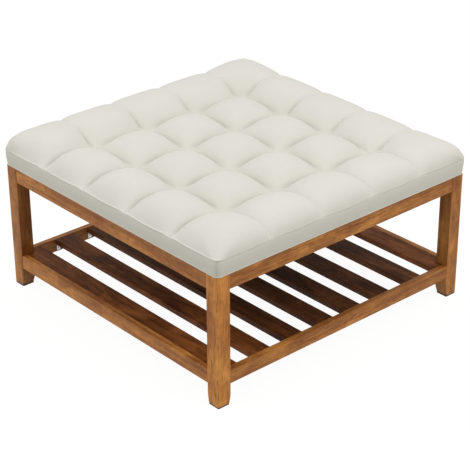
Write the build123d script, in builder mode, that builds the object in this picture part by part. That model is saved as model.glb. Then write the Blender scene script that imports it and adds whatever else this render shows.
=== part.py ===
from build123d import *

import os
from math import asin, cos, radians, sin, sqrt

# A tufted ottoman coffee table: a square hardwood frame on four legs, a slatted shelf low down
# between them, and a biscuit-tufted cushion screwed on top.
#
# Millimetres, +Z up. The origin is on the floor under the middle of the table. The front is -Y.
# The frame repeats every quarter turn, so legs, rails, corner blocks and side bands are made by
# functions that take a turn about the Z axis: 0 is the front side, or the front left corner.

# Frame
table_span = 813.0  # outer face to outer face of two legs
frame_height = 341.0  # floor to the top of legs and upper rails
leg_width = 38.0
leg_rounding = 1.5
foot_taper = 5.0  # each inner face of a leg draws in by this much at the foot
taper_height = 42.0
glide_thickness = 3.5
glide_lip = 1.0  # pad beyond the inner faces of the foot
glide_chamfer = 2.0

# Rails
upper_rail_height = 40.0
lower_rail_height = 36.5
shelf_height = 90.0  # floor to the top of lower rails and slats
rail_thickness = 16.0
rail_setback = 1.3  # rail face behind the leg face
rail_rounding = 1.0
tenon_thickness = 8.0
tenon_length = 14.0
tenon_shoulder = 6.0  # step above and below a tenon
joint_clearance = 0.2

# Slatted shelf
slat_count = 8
slat_width = 54.0
slat_thickness = 15.0
slat_rounding = 1.2
slat_clearance = 0.5  # around the legs, in the notches of the first and last slat
slat_shift_shares = {4: -0.10, 5: -0.11}  # of the pitch: two slats sit nearer the front
bracket_width = 10.0
bracket_leg = 17.0
bracket_gauge = 2.0
bracket_inset = 2.0  # from the slat's long edge

# Corner blocks and their hardware
block_height = 30.0
block_thickness = 22.0
block_gap = 0.5  # between the leg's inner edge and the block, so that the bolt can pull
bolt_radius = 3.0
bolt_leg_depth = 20.0
bolt_tail = 3.0  # thread left beyond the nut
bolt_clearance = 0.15
washer_radius = 7.0
washer_thickness = 1.5
nut_across_flats = 10.0
nut_height = 5.0
screw_radius = 2.25
screw_head_radius = 4.5
screw_head_height = 2.5
screw_side_step = 24.0  # along the block, clear of the hanger bolt
screw_clearance = 0.25

# Cushion
cover_thickness = 2.0
soft_gap = 0.3  # between soft pieces and what they lie beside
deck_thickness = 9.0
seam_height = 46.0  # side band, from the frame to the seam of the top panel
seam_overhang = 1.0
band_bulge = 3.0
band_corner_radius = 13.0
turn_under = 25.0  # cover folded under the deck
biscuit_count = 5  # each way
crown_rise = 63.0  # seam to the crest of a biscuit
fold_drop = 24.0  # crest to the middle of a fold
tuft_drop = 61.5  # crest to a tuft
tuft_crease_lift = 2.0  # how far the diagonal vaults start above the crest
panel_edge = 2.7  # thickness of the quilted top at its seam
panel_corner_share = 0.34  # of the corner radius, each way: how far the panel's corner is cut back
tape_width = 6.0
tape_thickness = 1.0
tape_tail = 18.0  # tape folded flat under the deck
slot_clearance = 0.5
dust_cover_thickness = 1.0

overrun = 5.0  # how far cutting shapes run past what they cut

# Places that follow from the sizes
half_span = table_span / 2
leg_line = half_span - leg_width / 2
inner_reach = half_span - leg_width  # middle to the inner face of a leg
rail_line = half_span - rail_setback - rail_thickness / 2
rail_inner = rail_line - rail_thickness / 2
arris_reach = inner_reach * sqrt(2)  # middle to the inner edge of a leg, along the diagonal
slat_bottom = shelf_height - slat_thickness
block_bottom = frame_height - block_height
block_reach = arris_reach - block_gap - block_thickness / 2
bolt_height = frame_height - block_height / 2
deck_bottom = frame_height + cover_thickness
deck_top = deck_bottom + deck_thickness
seam_level = frame_height + seam_height
panel_bottom = seam_level - panel_edge
foam_top = panel_bottom - soft_gap
crest_level = seam_level + crown_rise
seam_reach = half_span + seam_overhang
core_reach = half_span - cover_thickness - soft_gap
core_corner_radius = band_corner_radius - cover_thickness
biscuit_pitch = 2 * seam_reach / biscuit_count
screw_end = deck_bottom + deck_thickness / 2

corners = {"front_left": 0, "front_right": 90, "back_right": 180, "back_left": 270}
sides = {"front": 0, "right": 90, "back": 180, "left": 270}
rails = {
    "upper": (frame_height - upper_rail_height / 2, upper_rail_height),
    "lower": (shelf_height - lower_rail_height / 2, lower_rail_height),
}


def level(height, turn=0):
    """A horizontal plane, turned about the Z axis."""
    return Plane(
        origin=(0, 0, height),
        x_dir=(cos(radians(turn)), sin(radians(turn)), 0),
        z_dir=(0, 0, 1),
    )


def across(turn, reach=0):
    """A vertical plane square to the length of the rail on the side at this turn."""
    along = Vector(cos(radians(turn)), sin(radians(turn)), 0)
    return Plane(origin=along * reach, x_dir=along.rotate(Axis.Z, 90), z_dir=along)


def facing_corner(turn, reach, height):
    """A vertical plane across the diagonal of a corner, facing outwards."""
    outwards = Vector(cos(radians(turn + 225)), sin(radians(turn + 225)), 0)
    origin = outwards * reach + Vector(0, 0, height)
    return Plane(origin=origin, x_dir=outwards.rotate(Axis.Z, 90), z_dir=outwards)


def save(piece, name):
    piece.part.label = name
    export_step(piece.part, f"parts/{name}.step")


def make_leg(turn):
    """Square leg with both inner faces drawn in at the foot, mortised for four tenons."""
    taper_radius = (taper_height**2 + foot_taper**2) / (2 * foot_taper)
    with BuildPart() as leg:
        with BuildSketch(level(glide_thickness, turn)):
            with Locations((-leg_line, -leg_line)):
                RectangleRounded(leg_width, leg_width, leg_rounding)
        extrude(amount=frame_height - glide_thickness)
        for face_turn, side in ((turn, -1), (turn - 90, 1)):
            with BuildSketch(across(face_turn + 90)) as taper:
                with BuildLine():
                    face = (-side * inner_reach, glide_thickness + taper_height)
                    foot = (-side * (inner_reach + foot_taper), glide_thickness)
                    RadiusArc(face, foot, side * taper_radius)
                    Polyline(foot, (foot[0], 0), (face[0], 0), face)
                make_face()
            extrude(taper.sketch, amount=table_span, both=True, mode=Mode.SUBTRACT)
        for rail_turn, end in ((turn, -1), (turn - 90, 1)):
            for middle, height in rails.values():
                with BuildSketch(across(rail_turn, end * inner_reach)):
                    with Locations((-rail_line, middle)):
                        Rectangle(
                            tenon_thickness + 2 * joint_clearance,
                            height - 2 * tenon_shoulder + 2 * joint_clearance,
                        )
                extrude(amount=end * (tenon_length + joint_clearance), mode=Mode.SUBTRACT)
        with BuildSketch(facing_corner(turn, arris_reach - overrun, bolt_height)):
            Circle(bolt_radius + bolt_clearance)
        extrude(amount=overrun + bolt_leg_depth, mode=Mode.SUBTRACT)
    return leg


def make_rail(turn, middle, height):
    """Rail between two legs, with a stub tenon on each end."""
    with BuildPart() as rail:
        with BuildSketch(across(turn)):
            with Locations((-rail_line, middle)):
                RectangleRounded(rail_thickness, height, rail_rounding)
        extrude(amount=inner_reach, both=True)
        with BuildSketch(across(turn)):
            with Locations((-rail_line, middle)):
                Rectangle(tenon_thickness, height - 2 * tenon_shoulder)
        extrude(amount=inner_reach + tenon_length, both=True)
    return rail


def slat_middles():
    """Where the slats lie across the shelf, spread evenly but for their small shifts."""
    pitch = (2 * rail_inner - slat_width) / (slat_count - 1)
    first = slat_width / 2 - rail_inner
    return [first + pitch * (n + slat_shift_shares.get(n, 0)) for n in range(slat_count)]


def make_slat(middle):
    """Slat between the side rails, notched where it would run into a leg."""
    with BuildPart() as slat:
        with BuildSketch(Plane.YZ):
            with Locations((middle, shelf_height - slat_thickness / 2)):
                RectangleRounded(slat_width, slat_thickness, slat_rounding)
        extrude(amount=rail_inner, both=True)
        with BuildSketch(level(slat_bottom - overrun)):
            with GridLocations(2 * leg_line, 2 * leg_line, 2, 2):
                Rectangle(leg_width + 2 * slat_clearance, leg_width + 2 * slat_clearance)
        extrude(amount=slat_thickness + 2 * overrun, mode=Mode.SUBTRACT)
    return slat


def bracket_places(middles):
    """One bracket near each long edge of a slat, where no leg stands in its way."""
    step = slat_width / 2 - bracket_inset - bracket_width / 2
    clear_reach = inner_reach - slat_clearance - bracket_width / 2
    places = [middle + side * step for middle in middles for side in (-1, 1)]
    return [place for place in places if abs(place) <= clear_reach]


def make_brackets(places):
    """Bent steel angles that carry the slat ends on the inner faces of the side rails."""
    with BuildPart() as brackets:
        for place in places:
            for side in (-1, 1):
                with BuildSketch(Plane.XZ.offset(bracket_width / 2 - place)) as angle:
                    corner_x = side * rail_inner
                    with BuildLine():
                        Polyline(
                            (corner_x, slat_bottom),
                            (corner_x - side * bracket_leg, slat_bottom),
                            (corner_x - side * bracket_leg, slat_bottom - bracket_gauge),
                            (corner_x - side * bracket_gauge, slat_bottom - bracket_gauge),
                            (corner_x - side * bracket_gauge, slat_bottom - bracket_leg),
                            (corner_x, slat_bottom - bracket_leg),
                            close=True,
                        )
                    make_face()
                extrude(angle.sketch, amount=-bracket_width)
    return brackets


def make_block(turn):
    """Corner block across the inside of two upper rails, drilled for its bolt and screw."""
    with BuildPart() as block:
        with BuildSketch(level(block_bottom, turn)):
            Rectangle(2 * rail_inner, 2 * rail_inner)
            with Locations((-block_reach / sqrt(2), -block_reach / sqrt(2))):
                Rectangle(block_thickness, table_span, rotation=45, mode=Mode.INTERSECT)
        extrude(amount=block_height)
        with BuildSketch(facing_corner(turn, block_reach - block_thickness, bolt_height)):
            Circle(bolt_radius + bolt_clearance)
        extrude(amount=2 * block_thickness, mode=Mode.SUBTRACT)
        with BuildSketch(screw_plane(turn, block_bottom - overrun)):
            Circle(screw_radius + screw_clearance)
        extrude(amount=block_height + 2 * overrun, mode=Mode.SUBTRACT)
    return block


def screw_plane(turn, height):
    """A horizontal plane whose origin is the deck screw of one corner block."""
    place = facing_corner(turn, block_reach, height)
    return Plane(origin=place.origin + place.x_dir * screw_side_step, z_dir=(0, 0, 1))


def make_hanger_bolts():
    with BuildPart() as bolts:
        grip = arris_reach - block_reach + block_thickness / 2
        tail = washer_thickness + nut_height + bolt_tail
        for turn in corners.values():
            with BuildSketch(facing_corner(turn, arris_reach + bolt_leg_depth, bolt_height)):
                Circle(bolt_radius)
            extrude(amount=-(bolt_leg_depth + grip + tail))
    return bolts


def make_washers():
    with BuildPart() as washers:
        for turn in corners.values():
            face = block_reach - block_thickness / 2
            with BuildSketch(facing_corner(turn, face, bolt_height)):
                Circle(washer_radius)
                Circle(bolt_radius + bolt_clearance, mode=Mode.SUBTRACT)
            extrude(amount=-washer_thickness)
    return washers


def make_nuts():
    with BuildPart() as nuts:
        for turn in corners.values():
            face = block_reach - block_thickness / 2 - washer_thickness
            with BuildSketch(facing_corner(turn, face, bolt_height)):
                RegularPolygon(nut_across_flats / 2, 6, major_radius=False)
                Circle(bolt_radius + bolt_clearance, mode=Mode.SUBTRACT)
            extrude(amount=-nut_height)
    return nuts


def make_deck_screws():
    """Screws up through the corner blocks that hold the cushion down."""
    with BuildPart() as screws:
        for turn in corners.values():
            with BuildSketch(screw_plane(turn, block_bottom)):
                Circle(screw_head_radius)
            extrude(amount=-screw_head_height)
            with BuildSketch(screw_plane(turn, block_bottom)):
                Circle(screw_radius)
            extrude(amount=screw_end - block_bottom)
    return screws


def make_deck():
    """Plywood deck inside the cushion, slotted for the tuft tapes."""
    with BuildPart() as deck:
        with BuildSketch(level(deck_bottom)):
            RectangleRounded(2 * core_reach, 2 * core_reach, core_corner_radius)
        extrude(amount=deck_thickness)
        cut_tape_slots(deck_bottom, deck_top)
        for turn in corners.values():
            with BuildSketch(screw_plane(turn, deck_bottom - overrun)):
                Circle(screw_radius + screw_clearance)
            extrude(amount=overrun + screw_end - deck_bottom + screw_clearance, mode=Mode.SUBTRACT)
    return deck


def cut_tape_slots(low, high):
    """Cuts the slots of all tuft tapes out of the part being built."""
    with BuildSketch(level(low - overrun)) as slots:
        with GridLocations(biscuit_pitch, biscuit_pitch, biscuit_count - 1, biscuit_count - 1):
            Rectangle(tape_width + 2 * slot_clearance, tape_thickness + 2 * slot_clearance)
    extrude(slots.sketch, amount=high - low + 2 * overrun, mode=Mode.SUBTRACT)


def make_foam():
    with BuildPart() as foam:
        with BuildSketch(level(deck_top)):
            RectangleRounded(2 * core_reach, 2 * core_reach, core_corner_radius)
        extrude(amount=foam_top - deck_top)
        cut_tape_slots(deck_top, foam_top)
    return foam


def make_tuft_tapes():
    """Woven tapes that hold each tuft down: through foam and deck, then flat under the deck."""
    half = tape_thickness / 2
    with BuildPart() as tapes:
        with BuildSketch(Plane.YZ.offset(-tape_width / 2)) as tape:
            with BuildLine():
                Polyline(
                    (-half, panel_bottom),
                    (half, panel_bottom),
                    (half, deck_bottom),
                    (half + tape_tail, deck_bottom),
                    (half + tape_tail, deck_bottom - tape_thickness),
                    (-half, deck_bottom - tape_thickness),
                    close=True,
                )
            make_face()
        with BuildPart(mode=Mode.PRIVATE) as one:
            extrude(tape.sketch, amount=tape_width)
        with GridLocations(biscuit_pitch, biscuit_pitch, biscuit_count - 1, biscuit_count - 1):
            add(one.part)
    return tapes


def make_dust_cover():
    """Black cloth under the deck, between the turned-under edges, snipped at the corner blocks."""
    reach = half_span - turn_under
    snip = 2 * reach - sqrt(2) * (block_reach - block_thickness / 2)
    with BuildPart() as cloth:
        with BuildSketch(level(frame_height)) as outline:
            Rectangle(2 * reach, 2 * reach)
            chamfer(outline.vertices(), snip)
        extrude(amount=dust_cover_thickness)
    return cloth


def vault(plane, reach, low_drop, high_drop, bottom, top):
    """An arched profile whose two halves meet level at the crest and drop by unlike amounts."""
    with BuildSketch(plane) as profile:
        with BuildLine():
            for side, drop in ((-1, low_drop), (1, high_drop)):
                radius = (reach**2 + drop**2) / (2 * drop)
                half_turn = asin(reach / radius) / 2
                shoulder = (side * radius * sin(half_turn), top - radius * (1 - cos(half_turn)))
                ThreePointArc((side * reach, top - drop), shoulder, (0, top))
            Polyline(
                (-reach, top - low_drop), (-reach, bottom), (reach, bottom), (reach, top - high_drop)
            )
        make_face()
    return profile.sketch


def make_biscuit(column, row):
    """One tufted square: vaults along and across it, and two diagonal ones down to the tufts."""
    reach = biscuit_pitch / 2
    last = biscuit_count - 1
    diagonal = reach * sqrt(2)
    with BuildPart() as biscuit:
        drops = [fold_drop if n else crown_rise for n in (column, last - column)]
        arch = vault(Plane.XZ, reach, *drops, panel_bottom, crest_level)
        extrude(arch, amount=reach, both=True)
        drops = [fold_drop if n else crown_rise for n in (row, last - row)]
        arch = vault(Plane.YZ, reach, *drops, panel_bottom, crest_level)
        extrude(arch, amount=reach, both=True, mode=Mode.INTERSECT)
        drop = tuft_drop + tuft_crease_lift
        top = crest_level + tuft_crease_lift
        for turn in (45, 135):
            arch = vault(across(turn), diagonal, drop, drop, panel_bottom - overrun, top)
            extrude(arch, amount=2 * diagonal, both=True, mode=Mode.INTERSECT)
    return biscuit


def make_tufted_top():
    """The top panel with the wadding stitched behind it, biscuit by biscuit."""
    middle = (biscuit_count - 1) / 2
    with BuildPart() as top:
        for column in range(biscuit_count):
            for row in range(biscuit_count):
                biscuit = make_biscuit(column, row)
                with Locations(((column - middle) * biscuit_pitch, (row - middle) * biscuit_pitch)):
                    add(biscuit.part)
        outline = panel_outline()
        extrude(outline, amount=crest_level - panel_bottom + overrun, mode=Mode.INTERSECT)
    return top


def panel_outline():
    """The square edge of the top panel, with an arc at each corner that meets the sides aslant."""
    radius = band_corner_radius + seam_overhang
    straight = seam_reach - radius
    bend = seam_reach - radius * panel_corner_share
    near_corner = (
        (-seam_reach, -straight),
        (-bend, -bend),
        (-straight, -seam_reach),
        (straight, -seam_reach),
    )
    with BuildSketch(level(panel_bottom)) as outline:
        with BuildLine():
            for turn in corners.values():
                points = [Vector(*point).rotate(Axis.Z, turn) for point in near_corner]
                ThreePointArc(*points[:3])
                Line(*points[2:])
        make_face()
    return outline.sketch


def make_side_band(turn):
    """Side strip of the cover, sewn to its neighbours at the corners and turned under the deck."""
    straight = half_span - band_corner_radius
    inner_edge = half_span - turn_under
    with BuildPart() as band:
        strip = band_section(across(turn))
        extrude(strip, amount=straight, both=True)
        for end in (-1, 1):
            strip = band_section(across(turn, end * straight))
            pivot = level(0, turn).from_local_coords((end * straight, -straight, 0))
            revolve(strip, axis=Axis(pivot, (0, 0, end)), revolution_arc=45)
        with BuildSketch(level(frame_height, turn)):
            RectangleRounded(table_span, table_span, band_corner_radius)
            with BuildLine():
                Polyline(
                    (0, 0), (-table_span, -table_span), (table_span, -table_span), close=True
                )
            make_face(mode=Mode.INTERSECT)
            Rectangle(2 * inner_edge, 2 * inner_edge, mode=Mode.SUBTRACT)
        extrude(amount=cover_thickness)
    return band


def band_section(plane):
    """Upright section of the side band, bulging gently between its two edges."""
    height = panel_bottom - frame_height
    with BuildSketch(plane) as section:
        with BuildLine():
            outer = ThreePointArc(
                (-half_span, frame_height),
                (-half_span - band_bulge, frame_height + height / 2),
                (-seam_reach, panel_bottom),
            )
            inner = ThreePointArc(
                (cover_thickness - half_span, frame_height),
                (cover_thickness - half_span - band_bulge, frame_height + height / 2),
                (cover_thickness - seam_reach, panel_bottom),
            )
            Line(outer @ 0, inner @ 0)
            Line(outer @ 1, inner @ 1)
        make_face()
    return section.sketch


def make_glides():
    """Plastic pads under the feet, flush outside and a little proud of the drawn-in faces."""
    width = leg_width - foot_taper + glide_lip
    foot_line = half_span - width / 2
    with BuildPart() as glides:
        with BuildSketch(level(0)) as pads:
            with GridLocations(2 * foot_line, 2 * foot_line, 2, 2):
                Rectangle(width, width)
            chamfer(pads.vertices(), glide_chamfer)
        extrude(amount=glide_thickness)
    return glides


os.makedirs("parts", exist_ok=True)

for corner, turn in corners.items():
    save(make_leg(turn), f"leg_{corner}")
    save(make_block(turn), f"corner_block_{corner}")
save(make_glides(), "foot_glides")
save(make_hanger_bolts(), "hanger_bolts")
save(make_washers(), "hanger_washers")
save(make_nuts(), "hanger_nuts")
save(make_deck_screws(), "deck_screws")

for side, turn in sides.items():
    for row, (middle, height) in rails.items():
        save(make_rail(turn, middle, height), f"{row}_rail_{side}")
    save(make_side_band(turn), f"side_band_{side}")

middles = slat_middles()
for number, middle in enumerate(middles, start=1):
    save(make_slat(middle), f"slat_{number}")
save(make_brackets(bracket_places(middles)), "slat_brackets")

save(make_deck(), "deck_board")
save(make_foam(), "foam_core")
save(make_tuft_tapes(), "tuft_tapes")
save(make_dust_cover(), "dust_cover")
save(make_tufted_top(), "tufted_top")
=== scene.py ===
import math
from functools import partial

import bpy
import numpy as np
from bpy.props import FloatProperty, FloatVectorProperty, PointerProperty
from mathutils import Matrix, Vector


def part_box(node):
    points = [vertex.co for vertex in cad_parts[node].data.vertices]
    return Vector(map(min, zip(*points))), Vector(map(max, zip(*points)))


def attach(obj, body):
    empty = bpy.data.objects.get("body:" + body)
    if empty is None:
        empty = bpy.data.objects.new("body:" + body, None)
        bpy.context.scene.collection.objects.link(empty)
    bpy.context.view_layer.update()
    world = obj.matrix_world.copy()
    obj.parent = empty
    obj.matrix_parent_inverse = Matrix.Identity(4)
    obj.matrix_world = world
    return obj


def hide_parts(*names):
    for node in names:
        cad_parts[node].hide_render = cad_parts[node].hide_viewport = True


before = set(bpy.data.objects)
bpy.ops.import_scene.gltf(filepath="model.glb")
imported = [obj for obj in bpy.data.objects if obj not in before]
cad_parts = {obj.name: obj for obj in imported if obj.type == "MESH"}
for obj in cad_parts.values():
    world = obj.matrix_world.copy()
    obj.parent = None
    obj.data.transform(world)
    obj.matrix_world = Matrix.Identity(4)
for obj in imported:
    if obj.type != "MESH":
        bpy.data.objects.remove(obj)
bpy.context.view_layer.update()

bl_info = {
    "name": "Tufted ottoman coffee table",
    "version": (1, 0, 0),
    "blender": (4, 5, 0),
    "location": "3D View > Sidebar > Ottoman",
    "description": "Dresses the frame of an ottoman coffee table: wood, cushion, seams and fittings",
    "category": "Object",
}

MM = 0.001
TINY = 1e-9  # keeps divisions away from zero
PANEL_LOW, PANEL_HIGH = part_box("tufted_top")
LEG_LOW, LEG_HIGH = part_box("leg_front_right")
FOAM_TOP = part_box("foam_core")[1].z
DUST_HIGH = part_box("dust_cover")[1]

BISCUITS = 5  # each way
MIDDLE = BISCUITS / 2
PITCH = 2 * PANEL_HIGH.x / BISCUITS
REACH = PITCH / 2
PROUD = 3.5 * MM  # the soft seam beyond the edge of the solid panel
SEAM_REACH = PANEL_HIGH.x + PROUD  # middle of the table to the seam of the top panel
TUFT_REACH = (MIDDLE - 1) * PITCH  # middle of the table to the outer tufts
FLAT_REACH = TUFT_REACH + 82 * MM  # middle of the table to the crest of the outer biscuits
ROLL_REACH = SEAM_REACH - FLAT_REACH
CREST = PANEL_HIGH.z
PIT = FOAM_TOP + 3.5 * MM  # lowest point of the cover, at a tuft
PIT_POWER = 24  # how sharply the folds level out at the lowest point
FRAME_REACH = LEG_HIGH.x
FRAME_TOP = LEG_HIGH.z
BAND_CORNER = 11 * MM  # radius of the frame's outline under the cushion's corners
SEAM_CORNER = BAND_CORNER + SEAM_REACH - FRAME_REACH
SLATS = 8
SIDES = ("front", "right", "back", "left")
FRONT, RIGHT, BACK, LEFT = range(4)
CORNERS = ("front_left", "front_right", "back_right", "back_left")
SEAM_TURNS = tuple(math.radians(degrees) for degrees in (52, 80, 90, 98))


def scalar(name, default, note, low=0.0, high=1.0, **kind):
    """One number among the sizes."""
    return FloatProperty(name=name, description=note, default=default, min=low, max=high, **kind)


def several(name, default, note, low=0.0, high=1.0, **kind):
    """A list of numbers or a colour among the sizes."""
    size = len(default)
    return FloatVectorProperty(
        name=name, description=note, default=default, size=size, min=low, max=high, **kind
    )


length = partial(scalar, precision=5, subtype="DISTANCE", unit="LENGTH")
power = partial(scalar, low=1.0, high=8.0)
turn_angle = partial(scalar, high=2.4, subtype="ANGLE", unit="ROTATION")
lamp_power = partial(scalar, high=500.0)
colour = partial(several, subtype="COLOR")


class CushionSizes(bpy.types.PropertyGroup):
    """Sizes and colours of the tufted cushion. Lists of four run front, right, back, left."""

    settle: length("Settle", 0.0225, "How far the pads lie below the solid's crest")
    crown: length("Crown", 0.001, "How much lower the top lies at a side than at its centre")
    fold_drop: length("Fold drop", 0.046, "Crest of a biscuit to the bottom of its folds")
    fold_power: power("Fold power", 2.1, "Power of a biscuit's profile, 2 is round")
    fold_round: length("Fold rounding", 0.0016, "How wide the bottom of a fold is rounded out")
    saddle_share: scalar("Saddle", 0.10, "How much shallower a fold is between two tufts")
    pleat_power: scalar("Pleat power", 0.6, "How much tighter a fold grows down the roll", high=5.0)
    pleat_fade: scalar("Pleat fade", 0.34, "How far past the outer tufts a fold stays deep")
    # painted shade: half the width of the dark line painted along a pleat's crease; it moves no points
    crease_width: length("Crease width", 0.0018, "Half the width of a pleat's crease")
    pleats: several("Pleats", (0.74, 0.32, 0.20, 0.20), "Depth of a side's pleats, as a share")
    left_lift: length("Left lift", 0.0065, "How much higher the left pads stand")
    back_lift: length("Back lift", 0.0075, "How much higher the pads at the left end of the back stand")
    seam_wave: length("Seam wave", 0.0024, "How far the seam rises at a pleat and drops between")
    seam_bead: length("Seam bead", 0.0020, "How far the panel's edge stands out at its seam")
    right_bead: scalar("Right bead", 0.3, "Share of the bead that is left at the right seam")
    seam_height: length("Seam height", 0.385, "Mean height of the seam above the floor")
    shoulders: several("Shoulders", (2.2, 2.5, 2.7, 2.8), "Power of a side's roll, 2 is round", 1.0, 8.0)
    turns: several("Turns", SEAM_TURNS, "How far the top has turned down at a side's seam", 0.0, 2.4)
    corner_power: power("Corner shoulder", 3.1, "Power of the roll's oval at the cushion's corners")
    corner_turn: turn_angle("Corner turn", math.radians(104), "How far it has turned down at the corners")
    near_share: scalar("Near corner", 0.2, "Share of that roll at the corner of front and right")
    unevenness: length("Unevenness", 0.0005, "Height of the small waves of the filling")
    pressure: scalar("Pressure", 22.0, "Pressure inside the biscuits in the simulation", high=100.0)
    most_swell: length("Most swell", 0.004, "Farthest that the simulation may move a point")
    cloth_colour: colour("Cloth", (0.768, 0.758, 0.703), "Colour of the cover")
    # painted shade: the colour of the cover where it lies deep in folds, creases and seams
    fold_shade_colour: colour("Cloth in folds", (0.73, 0.712, 0.650), "Colour of the cover deep in its folds")
    weave_pitch: length("Weave pitch", 0.0011, "Distance between two threads of the weave")


class SeamSizes(bpy.types.PropertyGroup):
    """Sizes of the stitches."""

    stitch_pitch: length("Stitch pitch", 0.0042, "Start of one stitch to the start of the next")
    stitch_length: length("Stitch length", 0.0032, "Length of the thread that shows")
    thread_radius: length("Thread radius", 0.00040, "Half the thickness of the thread")
    tuft_stitch: length("Tuft stitch", 0.0060, "Length of the doubled thread that ties a tuft down")


class WoodSizes(bpy.types.PropertyGroup):
    """Colours and grain of the stained wood."""

    light_colour: colour("Light grain", (0.68, 0.280, 0.060), "Lighter parts of the stained wood")
    dark_colour: colour("Dark grain", (0.25, 0.070, 0.009), "Darker parts of the stained wood")
    # painted shade: the slats' grain is the frame's wood made darker for the shade under the cushion
    shaded_slat_light: colour("Light slat grain", (0.235, 0.076, 0.018), "Lighter parts of the shelf slats")
    shaded_slat_dark: colour("Dark slat grain", (0.045, 0.010, 0.002), "Darker parts of the shelf slats")
    grain_pitch: length("Grain pitch", 0.0016, "Distance between two fine grain lines")
    lacquer: scalar("Lacquer", 0.08, "Weight of the clear lacquer")
    slat_sheen: scalar("Slat sheen", 0.35, "Gloss of the slats as a share of the frame's gloss")
    gloss_roughness: scalar("Roughness", 0.42, "Roughness of the wood under the lacquer")


class FittingSizes(bpy.types.PropertyGroup):
    """Sizes and colours of the bracket screws, staples and dust cloth."""

    screw_radius: length("Screw head radius", 0.0031, "Radius of a bracket screw's head")
    screw_height: length("Screw head height", 0.0015, "Height of a bracket screw's head")
    recess_length: length("Recess length", 0.0034, "Length of an arm pair of the cross recess")
    recess_width: length("Recess width", 0.0009, "Width of an arm of the cross recess")
    staple_pitch: length("Staple pitch", 0.042, "Distance between two staples")
    staple_width: length("Staple width", 0.0100, "Length of a staple's crown")
    staple_wire: length("Staple wire", 0.0010, "Width of a staple's wire")
    cloth_sag: length("Cloth sag", 0.0060, "How far the dust cloth hangs down in its middle")
    zinc_colour: colour("Zinc", (0.62, 0.62, 0.60), "Colour of the zinc-plated steel")


class StageSizes(bpy.types.PropertyGroup):
    """Light, floor and camera."""

    floor_colour: colour("Floor", (0.86, 0.86, 0.86), "Colour of the floor")
    floor_glow: scalar("Floor glow", 0.95, "Light that the white floor gives off by itself", high=2.0)
    floor_share: scalar("Floor share", 0.09, "Share of the floor's light and shade left to see")
    sky_strength: scalar("Sky", 0.70, "Strength of the light from above", high=5.0)
    horizon_share: scalar("Horizon", 0.68, "Light at the horizon as a share of the light above")
    ground_share: scalar("Ground", 0.43, "Light from below as a share of the light above")
    key_power: lamp_power("Key light", 23.5, "Power of the large light")
    fill_power: lamp_power("Fill light", 26.5, "Power of the second light")
    rim_power: lamp_power("Rim light", 14.0, "Power of the light from behind and above")
    lens: scalar("Lens", 119.83, "Focal length in mm", 1.0, 500.0)


# Node trees


class Value:
    """An output in a node tree: arithmetic on it adds Math nodes."""

    def __init__(self, nodes, socket):
        self.nodes = nodes
        self.socket = socket

    def _math(self, operation, first, second):
        return self.nodes.node("ShaderNodeMath", {"operation": operation}, {0: first, 1: second})

    def __add__(self, other):
        return self._math("ADD", self, other)

    def __sub__(self, other):
        return self._math("SUBTRACT", self, other)

    def __rsub__(self, other):
        return self._math("SUBTRACT", other, self)

    def __mul__(self, other):
        return self._math("MULTIPLY", self, other)

    def at_least(self, other):
        return self._math("MAXIMUM", self, other)

    __radd__ = __add__


class Nodes:
    """A node tree that is filled node by node."""

    def __init__(self, tree):
        self.tree = tree

    def node(self, kind, settings=None, inputs=None, output=0):
        """Adds a node, sets it up, joins its inputs and gives the wanted output."""
        node = self.tree.nodes.new(kind)
        for name, value in (settings or {}).items():
            setattr(node, name, value)
        for name, value in (inputs or {}).items():
            socket = node.inputs[name]
            for source in value if isinstance(value, list) else [value]:
                if isinstance(source, Value):
                    self.tree.links.new(source.socket, socket)
                elif socket.type == "RGBA":
                    socket.default_value = (*source[:3], 1.0)
                else:
                    socket.default_value = source
        return Value(self, node.outputs[output])


class Shader(Nodes):
    """A material whose nodes are added one by one."""

    def __init__(self, name):
        self.material = bpy.data.materials.new(name)
        self.material.use_nodes = True
        super().__init__(self.material.node_tree)
        self.tree.nodes.clear()
        self.out = self.tree.nodes.new("ShaderNodeOutputMaterial")

    def place(self, shift=(0, 0, 0), turn=(0, 0, 0)):
        """Object coordinates, shifted and turned."""
        return self.stretch(self.node("ShaderNodeTexCoord", output="Object"), (1, 1, 1), shift, turn)

    def stretch(self, where, scale, shift=(0, 0, 0), turn=(0, 0, 0)):
        inputs = {"Vector": where, "Location": shift, "Rotation": turn, "Scale": scale}
        return self.node("ShaderNodeMapping", {"vector_type": "POINT"}, inputs)

    def axis(self, where, name):
        return self.node("ShaderNodeSeparateXYZ", None, {"Vector": where}, output=name)

    def noise(self, where, scale, detail=2.0, roughness=0.5, distortion=0.0):
        """Noise of one scale, or with a scale of its own along each axis."""
        if isinstance(scale, tuple):
            where, scale = self.stretch(where, scale), 1.0
        inputs = {"Vector": where, "Scale": scale, "Detail": detail, "Roughness": roughness}
        return self.node("ShaderNodeTexNoise", None, {**inputs, "Distortion": distortion})

    def spread(self, value, low, high, to_low=0.0, to_high=1.0):
        """Maps low to high onto another range, eased and cut off at its ends."""
        settings = {"interpolation_type": "SMOOTHSTEP", "clamp": True}
        inputs = {"Value": value, "From Min": low, "From Max": high, "To Min": to_low, "To Max": to_high}
        return self.node("ShaderNodeMapRange", settings, inputs)

    def mix(self, factor, first, second):
        """Mixes two colours."""
        return self.node("ShaderNodeMix", {"data_type": "RGBA"}, {0: factor, 6: first, 7: second}, output=2)

    def bump(self, height, distance):
        return self.node("ShaderNodeBump", None, {"Height": height, "Distance": distance})

    def finish(self, **inputs):
        """Ends in a Principled BSDF with these inputs and gives the material."""
        names = {name.replace("_", " ").title(): value for name, value in inputs.items()}
        names = {name.replace("Ior", "IOR"): value for name, value in names.items()}
        surface = self.node("ShaderNodeBsdfPrincipled", None, names)
        self.tree.links.new(surface.socket, self.out.inputs["Surface"])
        return self.material


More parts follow.
